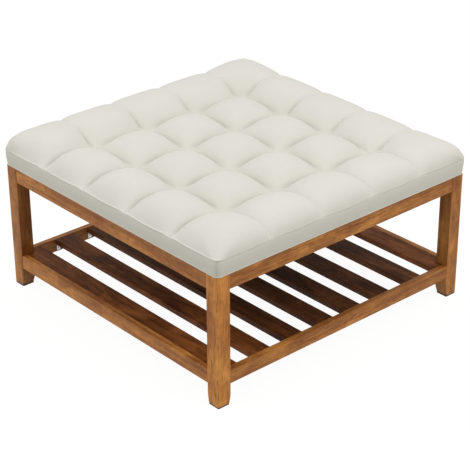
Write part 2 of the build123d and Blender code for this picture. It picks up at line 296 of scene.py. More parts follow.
class Recipe(Nodes):
    """A Geometry Nodes tree with named inputs, which turns a seed mesh into a repeated piece."""

    def __init__(self, name, inputs):
        super().__init__(bpy.data.node_groups.new(name, "GeometryNodeTree"))
        self.tree.is_modifier = True
        self.inputs = inputs
        sockets = self.tree.interface
        sockets.new_socket("Geometry", in_out="INPUT", socket_type="NodeSocketGeometry")
        for label, default in inputs.items():
            socket = sockets.new_socket(label, in_out="INPUT", socket_type="NodeSocketFloat")
            socket.default_value = default
        sockets.new_socket("Geometry", in_out="OUTPUT", socket_type="NodeSocketGeometry")
        self.start = self.tree.nodes.new("NodeGroupInput")
        self.end = self.tree.nodes.new("NodeGroupOutput")

    def size(self, name):
        """A named input. The seed mesh is the one called Geometry."""
        return Value(self, self.start.outputs[name])

    def vector(self, x, y, z):
        return self.node("ShaderNodeCombineXYZ", None, {"X": x, "Y": y, "Z": z})

    def block(self, x, y, z, shift=(0, 0, 0)):
        """A box of this size with its middle moved by shift."""
        cube = self.node("GeometryNodeMeshCube", None, {"Size": self.vector(x, y, z)})
        inputs = {"Geometry": cube, "Translation": self.vector(*shift)}
        return self.node("GeometryNodeTransform", None, inputs)

    def copies(self, piece, points, facing, axis):
        """Copies of a piece on points, each with its axis turned to where the point faces."""
        turned = self.node("FunctionNodeAlignRotationToVector", {"axis": axis}, {"Vector": facing})
        inputs = {"Points": points, "Instance": piece, "Rotation": turned}
        return self.node("GeometryNodeInstanceOnPoints", None, inputs)

    def copies_along(self, piece, axis):
        """Copies of a piece at every pitch along the seed's lines, with its axis along them."""
        path = self.node("GeometryNodeMeshToCurve", None, {"Mesh": self.size("Geometry")})
        inputs = {"Curve": path, "Length": self.size("Pitch")}
        points = self.node("GeometryNodeCurveToPoints", {"mode": "LENGTH"}, inputs)
        tangent = Value(self, points.socket.node.outputs["Tangent"])
        return self.copies(piece, points, tangent, axis)

    def finish(self, geometry, material):
        real = self.node("GeometryNodeRealizeInstances", None, {"Geometry": geometry})
        coated = self.node("GeometryNodeSetMaterial", None, {"Geometry": real, "Material": material})
        self.tree.links.new(coated.socket, self.end.inputs[0])
        return self

    def grow(self, seed):
        """Runs the tree on a seed mesh and leaves the result as a plain mesh."""
        modifier = seed.modifiers.new(self.tree.name, "NODES")
        modifier.node_group = self.tree
        for item in self.tree.interface.items_tree:
            if item.in_out == "INPUT" and item.name in self.inputs:
                modifier[item.identifier] = self.inputs[item.name]
        evaluated = seed.evaluated_get(bpy.context.evaluated_depsgraph_get())
        mesh = bpy.data.meshes.new_from_object(evaluated)
        seed.modifiers.remove(modifier)
        before = seed.data
        seed.data = mesh
        bpy.data.meshes.remove(before)
        return seed


# Materials

LEG_STAIN_AND_SHADE = (0.85, 1.22, 0.98, 0.9)  # partly stain that the boards took up unevenly, partly painted light and shade: lighter on the near front-right leg, darker on the legs in the table's shade
SLAT_LIGHT_AND_SHADE = (1.4, 1.2, 0.75, 0.62, 0.6, 0.7, 1.05, 1.6)  # from the front slat to the back one: painted light on the front slats, painted shade on the middle ones under the cushion, painted sheen on the back ones
GRAIN_TURNS = {"x": (0, 0, 0), "y": (0, 0, math.pi / 2), "z": (0, math.pi / 2, 0)}


def tinted(base, factors):
    """A colour times one factor, or times a factor for each of red, green and blue."""
    return tuple(np.minimum(1.0, np.multiply(tuple(base), factors)).tolist())


def board(name, along, seed):
    """A shader for a board and its place in the tree, with the grain along one axis."""
    shader = Shader(name)
    drift = (1.7 * seed, 2.3 * seed, 3.1 * seed)
    return shader, shader.place(drift, GRAIN_TURNS[along])


def stained_wood(name, along, seed, sizes, tone_and_shading=1.0, slat=False):
    """Stained and lacquered hardwood with its grain along one axis and stain taken up in blotches."""
    shader, where = board(name, along, seed)
    across = 1.0 / sizes.grain_pitch
    blotch = shader.noise(where, (7, 22, 22), 3.0, 0.6, 0.5)
    band = shader.noise(where, (1.6, 70, 70), 3.0, 0.62, 0.9)
    flame = shader.noise(where, (30, 16, 16), 2.0, 0.5, 1.0)
    fine = shader.noise(where, (across / 50, across, across), 3.0, 0.65)
    pores = shader.noise(where, (across / 12, across * 1.4, across * 1.4), 0.0)
    pore_mask = shader.spread(pores, 0.60, 0.72)
    sheen = sizes.slat_sheen if slat else 1.0
    # slats take the darker grain, painted shade under the cushion; the per-board factor adds painted light
    # and shade
    light = tinted(sizes.shaded_slat_light if slat else sizes.light_colour, tone_and_shading)
    dark = tinted(sizes.shaded_slat_dark if slat else sizes.dark_colour, tone_and_shading)
    amount = blotch * 0.55 + band * 0.40 + flame * 0.12 + fine * 0.40 - 0.735
    shade = shader.mix(shader.spread(amount, -0.21, 0.23), dark, light)
    amber = shader.spread(flame * 0.3 + blotch * 0.7, 0.50, 0.70, 0.0, 0.35)
    shade = shader.mix(amber, shade, tinted(light, (1.25, 1.3, 1.15)))
    streak = shader.spread(band, 0.60, 0.78, 0.0, 0.45)
    shade = shader.mix(streak, shade, tinted(dark, 0.75))
    shade = shader.mix(pore_mask * 0.5, shade, tinted(dark, 0.45))
    return shader.finish(
        base_color=shade,
        roughness=sizes.gloss_roughness + fine * 0.14 - 0.07 + pore_mask * 0.12,
        normal=shader.bump(fine * 0.5 - pore_mask * 0.8 + band * 0.4, 0.00022),
        coat_weight=sizes.lacquer * sheen,
        coat_roughness=0.3,
        specular_ior_level=0.18 * sheen,
    )


def raw_wood(name, along, colours, seed):
    """Bare sawn wood for the parts that no one sees."""
    shader, where = board(name, along, seed)
    broad = shader.noise(where, (3, 40, 40), 3.0, 0.6, 0.6)
    fine = shader.noise(where, (20, 700, 700), 2.0, 0.6)
    saw = shader.noise(where, (420, 12, 12), 1.0)
    return shader.finish(
        base_color=shader.mix(shader.spread(broad * 0.7 + fine * 0.3, 0.35, 0.65), *colours),
        roughness=0.72 + fine * 0.15,
        normal=shader.bump(fine * 0.6 + saw * 0.5, 0.0003),
    )


def plywood_finish(name):
    """Plywood: a rotary-cut face, and plies that show at the edges."""
    shader = Shader(name)
    where = shader.place()
    face = shader.noise(where, (3, 18, 3), 4.0, 0.6, 1.2)
    ply_pair = 1.8 * MM
    height = shader.axis(where, "Z")
    ply = shader.node("ShaderNodeMath", {"operation": "PINGPONG"}, {0: height, 1: ply_pair})
    plies = shader.spread(ply, 0.6 * MM, 1.2 * MM)
    shade = shader.mix(shader.spread(face, 0.35, 0.65), (0.50, 0.34, 0.19), (0.68, 0.50, 0.32))
    shade = shader.mix(plies * 0.35, shade, (0.34, 0.21, 0.11))
    return shader.finish(base_color=shade, roughness=0.75, normal=shader.bump(face, 0.0002))


def woven_cloth(name, sizes):
    """The cover: a fine even weave with slubs, and painted shade that makes it a little warmer and darker
    deep in the folds, along the pleats' creases and under the seams.
    """
    shader = Shader(name)
    weave_map = shader.node("ShaderNodeUVMap", {"uv_map": "weave"})
    turns = 2 * math.pi / sizes.weave_pitch
    along, across = [
        shader.node("ShaderNodeMath", {"operation": "SINE"}, {0: shader.axis(weave_map, name) * turns})
        for name in ("X", "Y")
    ]
    thread = along * across * 0.5 + 0.5
    where = shader.place()
    slubs = shader.noise(weave_map, (900, 60, 1)) + shader.noise(weave_map, (60, 900, 1))
    cloud = shader.noise(where, 9.0)
    fine = shader.noise(where, 260.0, 2.0, 0.55)
    # painted shade: the cloth turns darker and warmer where the fold mark is high
    fold = shader.node("ShaderNodeAttribute", {"attribute_name": "fold"}, output="Fac")
    cloth = sizes.cloth_colour
    shade = shader.mix(shader.spread(fold, 0.35, 1.0), cloth, sizes.fold_shade_colour)
    shade = shader.mix(shader.spread(cloud, 0.4, 0.7, 0.0, 0.5), shade, tinted(cloth, 1.03))
    shade = shader.mix((slubs - 0.9).at_least(0.0) * 0.45, shade, tinted(cloth, 0.9))
    shade = shader.mix((1 - thread) * 0.06, shade, tinted(cloth, 0.7))
    return shader.finish(
        base_color=shade,
        roughness=0.62 + fine * 0.2,
        normal=shader.bump(thread * 0.6 + slubs * 0.5 + fine * 0.5, 0.00018),
        sheen_weight=0.12,
        sheen_roughness=0.5,
        specular_ior_level=0.28,
    )


def plain_cloth(name, base, accent, pitch):
    """A coarse cloth with a visible texture, such as dust cloth, tape or thread."""
    shader = Shader(name)
    fibres = shader.noise(shader.place(), (1 / pitch, 1 / pitch, 1 / pitch), 3.0, 0.6, 1.0)
    return shader.finish(
        base_color=shader.mix(shader.spread(fibres, 0.35, 0.7), base, accent),
        roughness=0.85,
        normal=shader.bump(fibres, 0.0003),
        specular_ior_level=0.25,
    )


def foam_finish(name):
    shader = Shader(name)
    where = shader.place()
    cells = shader.node("ShaderNodeTexVoronoi", None, {"Vector": where, "Scale": 700.0})
    shade = shader.mix(shader.noise(where, 12.0), (0.80, 0.72, 0.46), (0.88, 0.82, 0.62))
    return shader.finish(base_color=shade, roughness=0.9, normal=shader.bump(cells, 0.0006))


def zinc_finish(name, sizes):
    """Zinc-plated steel with faint rolling marks."""
    shader = Shader(name)
    where = shader.place()
    marks = shader.noise(where, (60, 900, 900), 2.0, 0.6)
    dull = shader.spread(shader.noise(where, 90.0), 0.35, 0.7)
    return shader.finish(
        base_color=shader.mix(dull, sizes.zinc_colour, tinted(sizes.zinc_colour, 0.72)),
        metallic=1.0,
        roughness=0.28 + marks * 0.2,
        normal=shader.bump(marks, 0.00004),
    )


def pad_finish(name):
    """Dull brown plastic of the foot pads, with scuffs."""
    shader = Shader(name)
    where = shader.place()
    grain = shader.noise(where, 1500.0)
    scuffs = shader.spread(shader.noise(where, (90, 90, 900), 3.0, 0.6), 0.55, 0.75)
    shade = shader.mix(scuffs, (0.045, 0.028, 0.018), (0.12, 0.09, 0.06))
    return shader.finish(base_color=shade, roughness=0.55 + grain * 0.2, normal=shader.bump(grain, 0.0001))


def coat(node, material):
    """Gives a CAD node its material."""
    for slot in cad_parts[node].material_slots:
        slot.material = material


# Meshes


def make_piece(name, points, faces=(), uvs=None, edges=()):
    """A mesh object from points and faces or edges, with an optional weave map."""
    mesh = bpy.data.meshes.new(name)
    mesh.from_pydata(np.asarray(points).tolist(), edges, [list(map(int, f)) for f in faces])
    mesh.update()
    if uvs is not None:
        layer = mesh.uv_layers.new(name="weave")
        loops = np.zeros(len(mesh.loops), np.int32)
        mesh.loops.foreach_get("vertex_index", loops)
        layer.data.foreach_set("uv", np.asarray(uvs, np.float32)[loops].ravel())
    if len(faces):
        mesh.shade_smooth()
    piece = bpy.data.objects.new(name, mesh)
    bpy.context.scene.collection.objects.link(piece)
    return piece


def mark(piece, name, values, kind="FLOAT", field="value"):
    """Gives each point of a piece a value or a vector under a name."""
    layer = piece.data.attributes.new(name, kind, "POINT")
    layer.data.foreach_set(field, np.asarray(values, np.float32).ravel())


def make_path(name, loops):
    """Closed or open lines as a mesh of edges: each loop is (points, closed)."""
    points, edges = [], []
    for line, closed in loops:
        first, count = len(points), len(line)
        points.extend(tuple(map(float, point)) for point in line)
        edges.extend((first + n, first + n + 1) for n in range(count - 1))
        if closed:
            edges.append((first + count - 1, first))
    return make_piece(name, points, edges=edges)


def grid_faces(rows, columns, first=0, wrap=False):
    """Quads of a grid of points that is stored row by row."""
    row = np.arange(rows - 1)[:, None] * columns
    column = np.arange(columns if wrap else columns - 1)[None, :]
    after = (column + 1) % columns
    corners = [row + column, row + columns + column, row + columns + after, row + after]
    return (np.stack(corners, axis=-1).reshape(-1, 4) + first).tolist()


def ring_faces(before, after):
    """Quads that join two rings of points, given by their numbers."""
    count = len(before)
    pairs = [(n, (n + 1) % count) for n in range(count)]
    return [[before[m], before[n], after[n], after[m]] for n, m in pairs]


def rim_order(count):
    """Numbers of the points round the edge of a square grid, counterclockwise from above."""
    last = count - 1
    rim = [(n, 0) for n in range(last)] + [(last, n) for n in range(last)]
    rim += [(n, last) for n in range(last, 0, -1)] + [(0, n) for n in range(last, 0, -1)]
    return [row * count + column for row, column in rim]


# The tufted cushion

SIM_FRAMES = 20
SIM_CELL = 24  # steps of the simulated cloth across a biscuit
SIM_CLOTH = {
    "quality": 6,
    "mass": 0.3,
    "tension_stiffness": 15,
    "compression_stiffness": 15,
    "shear_stiffness": 8,
    "bending_stiffness": 1.5,
    "use_pressure": True,
    "vertex_group_mass": "held",
}
HOLD_LEVELS = 20
FOLD_HOLD = 0.6  # how firmly the simulation holds a fold between two tufts
SMOOTH_PASSES = 24
PANEL_CELL = 52  # steps of the finished panel across a biscuit
PANEL_EASE = 0.74  # how much closer together they are at the folds
ROLL_STEPS = 600
SEAM_FADE = 2.5  # power with which the seam's rise dies out up the roll
PLEAT_END = 0.8  # how much of a pleat has gone where it meets the seam
BEAD_WIDTH = 0.020  # as a share of the roll
WRINKLE_HEIGHT = 0.8 * MM
WRINKLE_REACH = 26 * MM
WRINKLE_START = 10 * MM
RIM_STEPS = ((0.7, 0.6), (1.6, 0.8), (2.9, 0.7))  # mm inwards and down, for the rings inside the seam
RIM_INSET = 3.0 * MM  # how far the edge of the panel's flat underside lies inside the seam
RIM_CLEAR = 0.4 * MM  # that underside above the foam
RIM_FOLD_SHADE = 0.6  # painted fold shade there: how deep the cloth counts as folded


def cell_lines(steps, ease):
    """Places across the top in cells from 0 to 5, closer together near the folds as ease grows."""
    even = np.linspace(-1, 1, steps + 1)
    local = (1 - ease) * even + ease * np.sin(even * math.pi / 2)
    cells = [n + (local[:-1] + 1) / 2 for n in range(BISCUITS)]
    return np.concatenate([*cells, [BISCUITS]])


class Across:
    """Where points lie along one of the top's two directions, in cells from 0 to 5."""

    def __init__(self, place, sides):
        cell = np.clip(np.floor(place), 0, BISCUITS - 1)
        self.place = place
        self.sides = sides
        self.low = place < MIDDLE
        self.local = 2 * (place - cell) - 1  # -1 at one fold and 1 at the next
        self.outer = np.where(self.low, self.local < 0, self.local > 0) & (cell % (BISCUITS - 1) == 0)
        self.roll = np.where(self.outer, np.abs(self.local), 0.0)  # how far down the outer roll
        self.past = np.clip(np.abs(place - MIDDLE) - MIDDLE + 1, 0, 1)  # outer tuft at 0, seam at 1
        self.to_fold = np.where(self.outer, 1.0, 1 - np.abs(self.local)) * REACH

    def side_value(self, values):
        """The value of the nearer of this direction's two sides."""
        return np.where(self.low, *(values[side] for side in self.sides))


def both_ways(lines):
    """The grid over the whole top in its two directions, left to right and front to back."""
    s, t = np.meshgrid(lines, lines, indexing="ij")
    return Across(s, (LEFT, RIGHT)), Across(t, (FRONT, BACK))


def ripple(values, seed, count=5, slowest=1.0):
    """A smooth random wave along a line, from -1 to 1, the same every time."""
    draw = np.random.default_rng(seed)
    total = np.zeros_like(values)
    for n in range(count):
        total += np.sin(values * slowest * (1.35**n) + draw.uniform(0, 2 * math.pi)) / (1 + 0.5 * n)
    return total / count**0.6


def eased(value):
    """Runs from 0 to 1 with soft ends."""
    value = np.clip(value, 0, 1)
    return value * value * (3 - 2 * value)


def bell(distance, width):
    """1 at no distance, falling to nothing within about two widths."""
    return np.exp(-((distance / width) ** 2))


def seam_rise(along, side, sizes):
    """Height of the seam above its mean at cells 0 to 5 along a side: up at pleats, down between."""
    pleats = np.cos(2 * math.pi * along)
    ends = np.clip(np.minimum(along, BISCUITS - along) / 0.6, 0, 1)
    wander = ripple(along, 11 + side, slowest=1.3)
    return sizes.seam_wave * ends * (0.55 * pleats + 0.6 * wander)


def roll_profile(down, last_turn, shoulder, sizes):
    """Outward reach and share of the drop of a side's rolled edge, from the crest at 0 to the seam at 1."""
    bend = np.linspace(0, last_turn, ROLL_STEPS)
    bow = 2 / shoulder
    out = np.sin(bend) ** bow
    drop = 1 - np.sign(np.cos(bend)) * np.abs(np.cos(bend)) ** bow
    out, drop = ROLL_REACH * out / out[-1], drop / drop[-1]
    tall = CREST - sizes.settle - sizes.seam_height
    way = np.concatenate([[0], np.cumsum(np.hypot(np.diff(out), tall * np.diff(drop)))])
    way /= way[-1]
    return np.stack([np.interp(down, way, out), np.interp(down, way, drop)])


def rounded(across, along, corner):
    """Pulls points of nested squares onto squares with round corners of this radius."""
    a, b = np.abs(across), np.abs(along)
    half = np.maximum(np.maximum(a, b), TINY)
    radius = np.minimum(corner, half)
    straight = half - radius
    slope = np.minimum(a, b) / half
    inside = slope * half <= straight
    p = 1 + slope**2
    q = straight * (1 + slope)
    under = np.maximum(q**2 - p * (2 * straight**2 - radius**2), 0)
    far = (q + np.sqrt(under)) / p
    pull = np.where(inside, 1.0, far / half)
    return across * pull, along * pull


def fold_depth(to_fold, past, sizes):
    """Share of the drop by the distance to a fold: 1 in the fold, 0 on the round crown."""
    bow, width = sizes.fold_power, sizes.fold_round
    inward = np.clip(1 - (np.hypot(to_fold, width) - np.hypot(REACH, width) + REACH) / REACH, 0, 1)
    lowest = 1 - width / REACH
    rise = (1 - inward**bow) ** (1 / bow)
    least = (1 - lowest**bow) ** (1 / bow)
    deep = np.clip(1 - (rise - least) / (1 - least), 0, 1)
    return deep ** (1 + sizes.pleat_power * past)


def saddle(way, sizes):
    """How much shallower a fold along this way is between two tufts, as a share."""
    return sizes.saddle_share * (1 - way.local**2) ** 2 * np.where(way.outer, 0.0, 1.0)


def pleat_keep(way, sizes):
    """Depth that a fold along this way keeps from the outer tufts down to the seam, as a share."""
    pleat = way.side_value(sizes.pleats)
    keep = pleat + (1 - pleat) * bell(way.past, sizes.pleat_fade)
    return keep * (1 - PLEAT_END * way.past**7)


def placed(way, side_reach):
    """Distances from the middle of the table, with the outer biscuits' crests at FLAT_REACH."""
    off = way.place - MIDDLE
    inner = np.minimum(np.abs(off) * PITCH, TUFT_REACH)
    rising = np.clip(way.past * 2, 0, 1) * (FLAT_REACH - TUFT_REACH)
    return np.sign(off) * np.where(way.outer, FLAT_REACH + side_reach, inner + rising)


def surface_normals(points):
    """Unit normals of a grid of points."""
    normal = np.cross(np.gradient(points, axis=0), np.gradient(points, axis=1))
    return normal / np.maximum(np.linalg.norm(normal, axis=-1, keepdims=True), 1e-12)


def unevenness(x, y, sizes):
    """The small waves of a filling that is nowhere quite even."""
    one = ripple((x + 0.6 * y) * 70, 91) * ripple((y - 0.5 * x) * 60, 92)
    other = ripple((x - 0.8 * y) * 130, 93) * ripple((y + 0.9 * x) * 120, 94)
    return sizes.unevenness * (0.6 * one + 0.3 * other)


def tuft_wrinkles(s, t, to_tuft):
    """Faint radial wrinkles round each tuft."""
    near_s, near_t = np.round(s), np.round(t)
    angle = np.arctan2((t - near_t), (s - near_s))
    key = near_s * 7.31 + near_t * 3.77
    wave = np.sin(7 * angle + 5 * np.sin(key)) + 0.7 * np.sin(11 * angle + 9 * np.cos(key * 1.7))
    inner = (near_s > 0) & (near_s < BISCUITS) & (near_t > 0) & (near_t < BISCUITS)
    fade = bell(to_tuft, WRINKLE_REACH) * np.clip(to_tuft / WRINKLE_START, 0, 1) ** 2
    return np.where(inner, WRINKLE_HEIGHT * wave * fade, 0.0)


def rolled_top(s, t, sizes):
    """The top without its folds: places across, heights of the crest and of the top, and the roll."""
    down = np.maximum(s.roll, t.roll)
    share_s, share_t = (np.where(down > 0, way.roll / np.maximum(down, TINY), 0) for way in (s, t))
    profiles = [roll_profile(down, sizes.turns[n], sizes.shoulders[n], sizes) for n in range(4)]
    weight = share_s**3 / np.maximum(share_s**3 + share_t**3, TINY)
    sides = weight * s.side_value(profiles) + (1 - weight) * t.side_value(profiles)
    fill = (share_s * share_t) ** 1.5 * np.where(~s.low & t.low, sizes.near_share, 1.0)
    corner_roll = roll_profile(down, sizes.corner_turn, sizes.corner_power, sizes)
    reach, drop = (1 - fill) * sides + fill * corner_roll
    corner = reach * (1 - (1 - SEAM_CORNER / ROLL_REACH) * down**3)
    side_s, side_t = rounded(reach * share_s, reach * share_t, corner)
    x, y = placed(s, side_s), placed(t, side_t)
    top = CREST - sizes.settle - sizes.crown * ((x / SEAM_REACH) ** 2 + (y / SEAM_REACH) ** 2)
    top = top + sizes.left_lift * np.where(s.low, eased(s.past * 2), 0)
    top = top + sizes.back_lift * np.where(t.low, 0, eased(t.past * 2)) * eased(1 - s.place / BISCUITS)
    z = top - drop * (top - sizes.seam_height)
    for side, (here, along) in enumerate(((t, s), (s, t), (t, s), (s, t))):
        near = here.low == (here.sides[0] == side)
        z = z + seam_rise(along.place, side, sizes) * np.where(near, here.roll**SEAM_FADE, 0)
    bead = sizes.seam_bead * bell(1 - down, BEAD_WIDTH) * (1 - 0.8 * (share_s * share_t) ** 4)
    bead = bead * np.where(s.low, 1.0, 1 - weight * (1 - sizes.right_bead))
    return np.stack([x, y, z], axis=-1), top, down, bead


def cushion_surface(lines, sizes):
    """Points of the tufted top, and for each a painted shade amount from 0 to 1: how deep it lies in a
    fold, raised along the pleats' crease lines.
    """
    s, t = both_ways(lines)
    points, top, down, bead = rolled_top(s, t, sizes)
    x, y = points[..., 0], points[..., 1]
    keep = {s: pleat_keep(s, sizes), t: pleat_keep(t, sizes)}
    folds, creases = [], []
    shallow = 0.0
    for way, other in ((s, t), (t, s)):
        folds.append(fold_depth(way.to_fold, other.past, sizes) * keep[other])
        shallow = shallow + folds[-1] * saddle(other, sizes)
        # painted shade only: these crease lines darken the cloth and do not move it
        creases.append(bell(way.to_fold, sizes.crease_width) * eased(other.past * 4) * keep[other])
    fold_s, fold_t = folds
    depth = sizes.fold_drop * (1 - (1 - fold_s) * (1 - fold_t) - shallow * (1 - fold_s * fold_t))
    deepest = top - PIT
    depth = depth / (1 + (depth / deepest) ** PIT_POWER) ** (1 / PIT_POWER)
    away = surface_normals(points)
    points = points - away * depth[..., None]
    soft = unevenness(x, y, sizes) * (1 - down**4)
    wrinkles = tuft_wrinkles(s.place, t.place, np.hypot(s.to_fold, t.to_fold))
    points = points + away * (wrinkles + soft + bead)[..., None]
    # painted shade: dark lines along the pleats' creases, fading down the roll
    crease = np.maximum(*creases) * (1 - 0.6 * down**2)
    return points, np.clip(np.maximum(depth / deepest, 0.3 + 0.7 * crease), 0, 1)


def cubic_weights(lines, steps):
    """A matrix that carries values from an even grid to these lines by cubic interpolation."""
    last = BISCUITS * steps
    place = np.minimum(lines * steps, last - TINY)
    first = place.astype(int)
    f = place - first
    parts = (f * (-1 + 2 * f - f**2), 2 - 5 * f**2 + 3 * f**3, f * (1 + 4 * f - 3 * f**2), f**3 - f**2)
    weights = np.zeros((len(lines), last + 1))
    for offset, part in zip((-1, 0, 1, 2), parts):
        column = np.clip(first + offset, 0, last)
        weights[np.arange(len(lines)), column] += part / 2
    return weights


def smoothed(field, passes):
    """A field on a grid, averaged with its neighbours again and again, its edge kept."""
    for _ in range(passes):
        inner = field[1:-1, 1:-1]
        around = field[:-2, 1:-1] + field[2:, 1:-1] + field[1:-1, :-2] + field[1:-1, 2:]
        field = field.copy()
        field[1:-1, 1:-1] = 0.5 * inner + 0.125 * around
    return field


def hold_levels(lines):
    """How firmly each point is held in the simulation, in steps: folds, tufts and seam."""
    s, t = both_ways(lines)
    fold_s, fold_t = (np.where(way.outer, 0.0, np.abs(way.local) ** 12) for way in (s, t))
    hold = np.maximum(fold_s * (1 - t.roll), fold_t * (1 - s.roll)) * FOLD_HOLD
    hold = np.maximum(hold, fold_s * fold_t)
    hold = np.maximum(hold, np.maximum(s.roll, t.roll) ** 6)
    return np.round(hold.ravel() * HOLD_LEVELS).astype(int)


def swell(sizes):
    """How far the cover moves when its filling presses it out: a cloth simulation on an even grid."""
    lines = np.linspace(0, BISCUITS, BISCUITS * SIM_CELL + 1)
    start, _ = cushion_surface(lines, sizes)
    cloth = make_piece("swelling_cover", start.reshape(-1, 3), grid_faces(len(lines), len(lines)))
    group = cloth.vertex_groups.new(name="held")
    levels = hold_levels(lines)
    for level in np.unique(levels):
        if level:
            group.add(np.nonzero(levels == level)[0].tolist(), float(level) / HOLD_LEVELS, "REPLACE")
    modifier = cloth.modifiers.new("Cloth", "CLOTH")
    for key, value in SIM_CLOTH.items():
        setattr(modifier.settings, key, value)
    modifier.settings.uniform_pressure_force = sizes.pressure
    modifier.settings.effector_weights.gravity = 0
    modifier.point_cache.frame_start = 1
    modifier.point_cache.frame_end = SIM_FRAMES
    for frame_number in range(1, SIM_FRAMES + 1):
        bpy.context.scene.frame_set(frame_number)
    settled = cloth.evaluated_get(bpy.context.evaluated_depsgraph_get()).to_mesh()
    end = np.zeros(len(settled.vertices) * 3)
    settled.vertices.foreach_get("co", end)
    mesh = cloth.data
    bpy.data.objects.remove(cloth)
    bpy.data.meshes.remove(mesh)
    bpy.context.scene.frame_set(1)
    away = surface_normals(start)
    moved = end.reshape(start.shape) - start
    outward = smoothed((moved * away).sum(axis=-1, keepdims=True), SMOOTH_PASSES)
    cap = sizes.most_swell
    return away * cap * np.tanh(outward / cap)


def build_tufted_cushion(sizes):
    """The top panel: closed all round, with its edge turned in at the seam."""
    lines = cell_lines(PANEL_CELL, PANEL_EASE)
    points, depth = cushion_surface(lines, sizes)
    weights = cubic_weights(lines, SIM_CELL)
    points = points + np.einsum("ia,jb,abk->ijk", weights, weights, swell(sizes), optimize=True)
    count = len(lines)
    points = points.reshape(-1, 3)
    before = rim_order(count)
    edge = points[before]
    inward = -edge * (1, 1, 0) / np.abs(edge[:, :2]).max(axis=1, keepdims=True)
    rings = [edge + inward * step * MM - (0, 0, fall * MM) for step, fall in RIM_STEPS]
    last = edge + inward * RIM_INSET
    last[:, 2] = np.maximum(FOAM_TOP + RIM_CLEAR, PANEL_LOW.z)
    rings.append(last)
    s, t = np.meshgrid(lines, lines, indexing="ij")
    uvs = [np.stack([s, t], axis=-1).reshape(-1, 2) * PITCH]
    edge_uv = uvs[0][before]
    faces = grid_faces(count, count)
    for number in range(len(rings)):
        first = len(points) + number * len(edge)
        after = list(range(first, first + len(edge)))
        faces += ring_faces(before, after)
        uvs.append(edge_uv + (number + 1) * MM)
        before = after
    faces.append(before[::-1])
    piece = make_piece("tufted_cushion", np.concatenate([points, *rings]), faces, np.concatenate(uvs))
    # painted shade mark: fold depth and crease lines on the top, a fixed share on the rim
    mark(piece, "fold", np.concatenate([depth.ravel(), np.full(len(rings) * len(edge), RIM_FOLD_SHADE)]))
    seam = np.zeros(len(piece.data.vertices))
    seam[len(points) : len(points) + len(edge)] = 1
    mark(piece, "seam", seam)
    return piece


# Side bands

BAND_STEPS = 150
BAND_BULGE = 0.5 * MM
BAND_WAIST = 2.2  # how fast the bulge fades above and below the middle of the height
HEM_TUCK = 0.15  # how far the hem turns in at the ends, as a share
TUCKS = np.array([0, 0, 0, 0, 0, 0, 0.1, 0.5, 1.3]) * MM  # how far an end turns in, along its bend
BAND_FACE = (  # mm out from the seam's line, share of the height, mm above that
    (-3.0, 1.0, -3.0),
    (-2.8, 1.0, -1.6),
    (-2.0, 1.0, -0.9),
    (-1.1, 1.0, -1.0),
    (-0.5, 1.0, -1.7),
    (-0.2, 1.0, -3.2),
    (0.2, 1.0, -7.0),
    (0.4, 0.74, 0),
    (0.2, 0.60, 0),
    (-0.4, 0.46, 0),
    (-1.1, 0.32, 0),
    (-1.9, 0.20, 0),
)
BAND_HEM = (  # the same for the thin hem, where the strip turns in under the cushion
    (-2.7, 0, 4.2),
    (-3.0, 0, 3.2),
    (-2.9, 0, 2.7),
    (-2.6, 0, 2.2),
    (-2.3, 0, 1.7),
    (-2.4, 0, 1.2),
    (-2.8, 0, 0.8),
    (-3.4, 0, 0.6),
    (-4.0, 0, 0.5),
    (-5.0, 0, 0.4),
)
BAND_BACK = (  # mm out from the frame's face, share of the height, mm above that
    (-10.0, 0, 0.2),
    (-24.0, 0, 0.2),
    (-25.0, 0, 0.9),
    (-24.0, 0, 1.6),
    (-10.0, 0, 1.7),
    (-1.9, 0, 1.8),
    (-1.7, 0, 4.0),
    (-1.6, 0.5, 0),
    (-1.4, 1.0, -4.8),
)
BAND_SEAM_SHADE = (0.9, 0.8, 0.7, 0.5, 0.3, 0.15, 0.05)  # painted shade under the seam: how deep the first points lie in it


